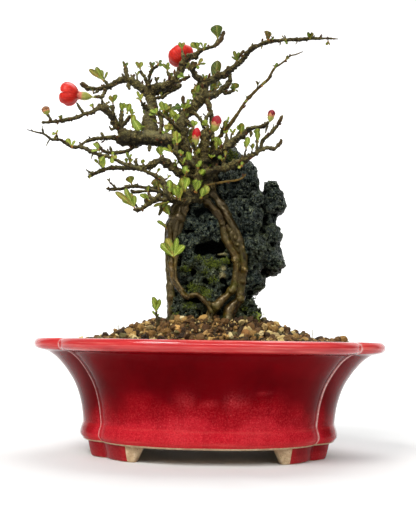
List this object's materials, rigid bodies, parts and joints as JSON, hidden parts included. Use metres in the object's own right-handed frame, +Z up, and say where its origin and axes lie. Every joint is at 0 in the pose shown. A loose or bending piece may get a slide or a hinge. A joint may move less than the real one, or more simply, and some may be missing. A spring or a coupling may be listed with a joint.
{
  "type": "japanese quince bonsai",
  "caption": "Flowering dwarf tree with exposed roots clasping an upright stone, standing in soil in a lobed oval glazed pot on corner feet.",
  "frame": {"origin": "on the ground, under the middle of the pot", "axes": "+Z up; X along the pot's long side, +X to the viewer's right; the show side faces -Y"},
  "size_m": [0.2704, 0.2044, 0.328],
  "materials": {
    "glaze": "gloss",
    "screen": "matte",
    "wire": "satin",
    "pumice": "matte",
    "soil": "matte",
    "rock": "matte",
    "bark": "matte",
    "shoot": "matte",
    "moss": "matte",
    "leaf": "satin",
    "petal": "satin",
    "calyx": "satin",
    "stamen": "matte"
  },
  "bodies": {
    "root": {"pot": "glaze", "drain_screen_left": "screen", "drain_screen_right": "screen", "screen_clip_left": "wire", "screen_clip_right": "wire", "rock": "rock", "tree": "bark", "drainage_layer": "pumice", "soil": "soil", "sucker_sprout": "shoot", "moss_upper": "moss", "moss_middle": "moss", "moss_lower": "moss", "leaves_upper_left": "leaf", "leaves_left_limb_a": "leaf", "leaves_left_limb_b": "leaf", "leaves_left_twig": "leaf", "leaves_left_low": "leaf", "leaves_top_left": "leaf", "leaves_top_a": "leaf", "leaf_crown_tip": "leaf", "leaf_top_right": "leaf", "leaves_centre_a": "leaf", "leaves_centre_b": "leaf", "leaves_centre_c": "leaf", "leaves_right_top": "leaf", "leaf_right_twig": "leaf", "leaf_right_side": "leaf", "leaves_low_left": "leaf", "leaf_low_left": "leaf", "leaf_elbow": "leaf", "leaves_trunk_a": "leaf", "leaves_beside_root": "leaf", "leaves_on_root": "leaf", "leaf_right_limb": "leaf", "leaves_sucker": "leaf", "flower_left_calyx": "calyx", "flower_left_petal_1": "petal", "flower_left_petal_2": "petal", "flower_left_petal_3": "petal", "flower_left_petal_4": "petal", "flower_left_petal_5": "petal", "flower_left_stamens": "stamen", "flower_top_calyx": "calyx", "flower_top_petal_1": "petal", "flower_top_petal_2": "petal", "flower_top_petal_3": "petal", "flower_top_petal_4": "petal", "flower_top_petal_5": "petal", "flower_top_stamens": "stamen", "bud_far_left_calyx": "calyx", "bud_far_left_petals": "petal", "bud_centre_calyx": "calyx", "bud_centre_petals": "petal", "bud_upper_calyx": "calyx", "bud_upper_petals": "petal", "bud_right_calyx": "calyx", "bud_right_petals": "petal"}
  },
  "joints": []
}
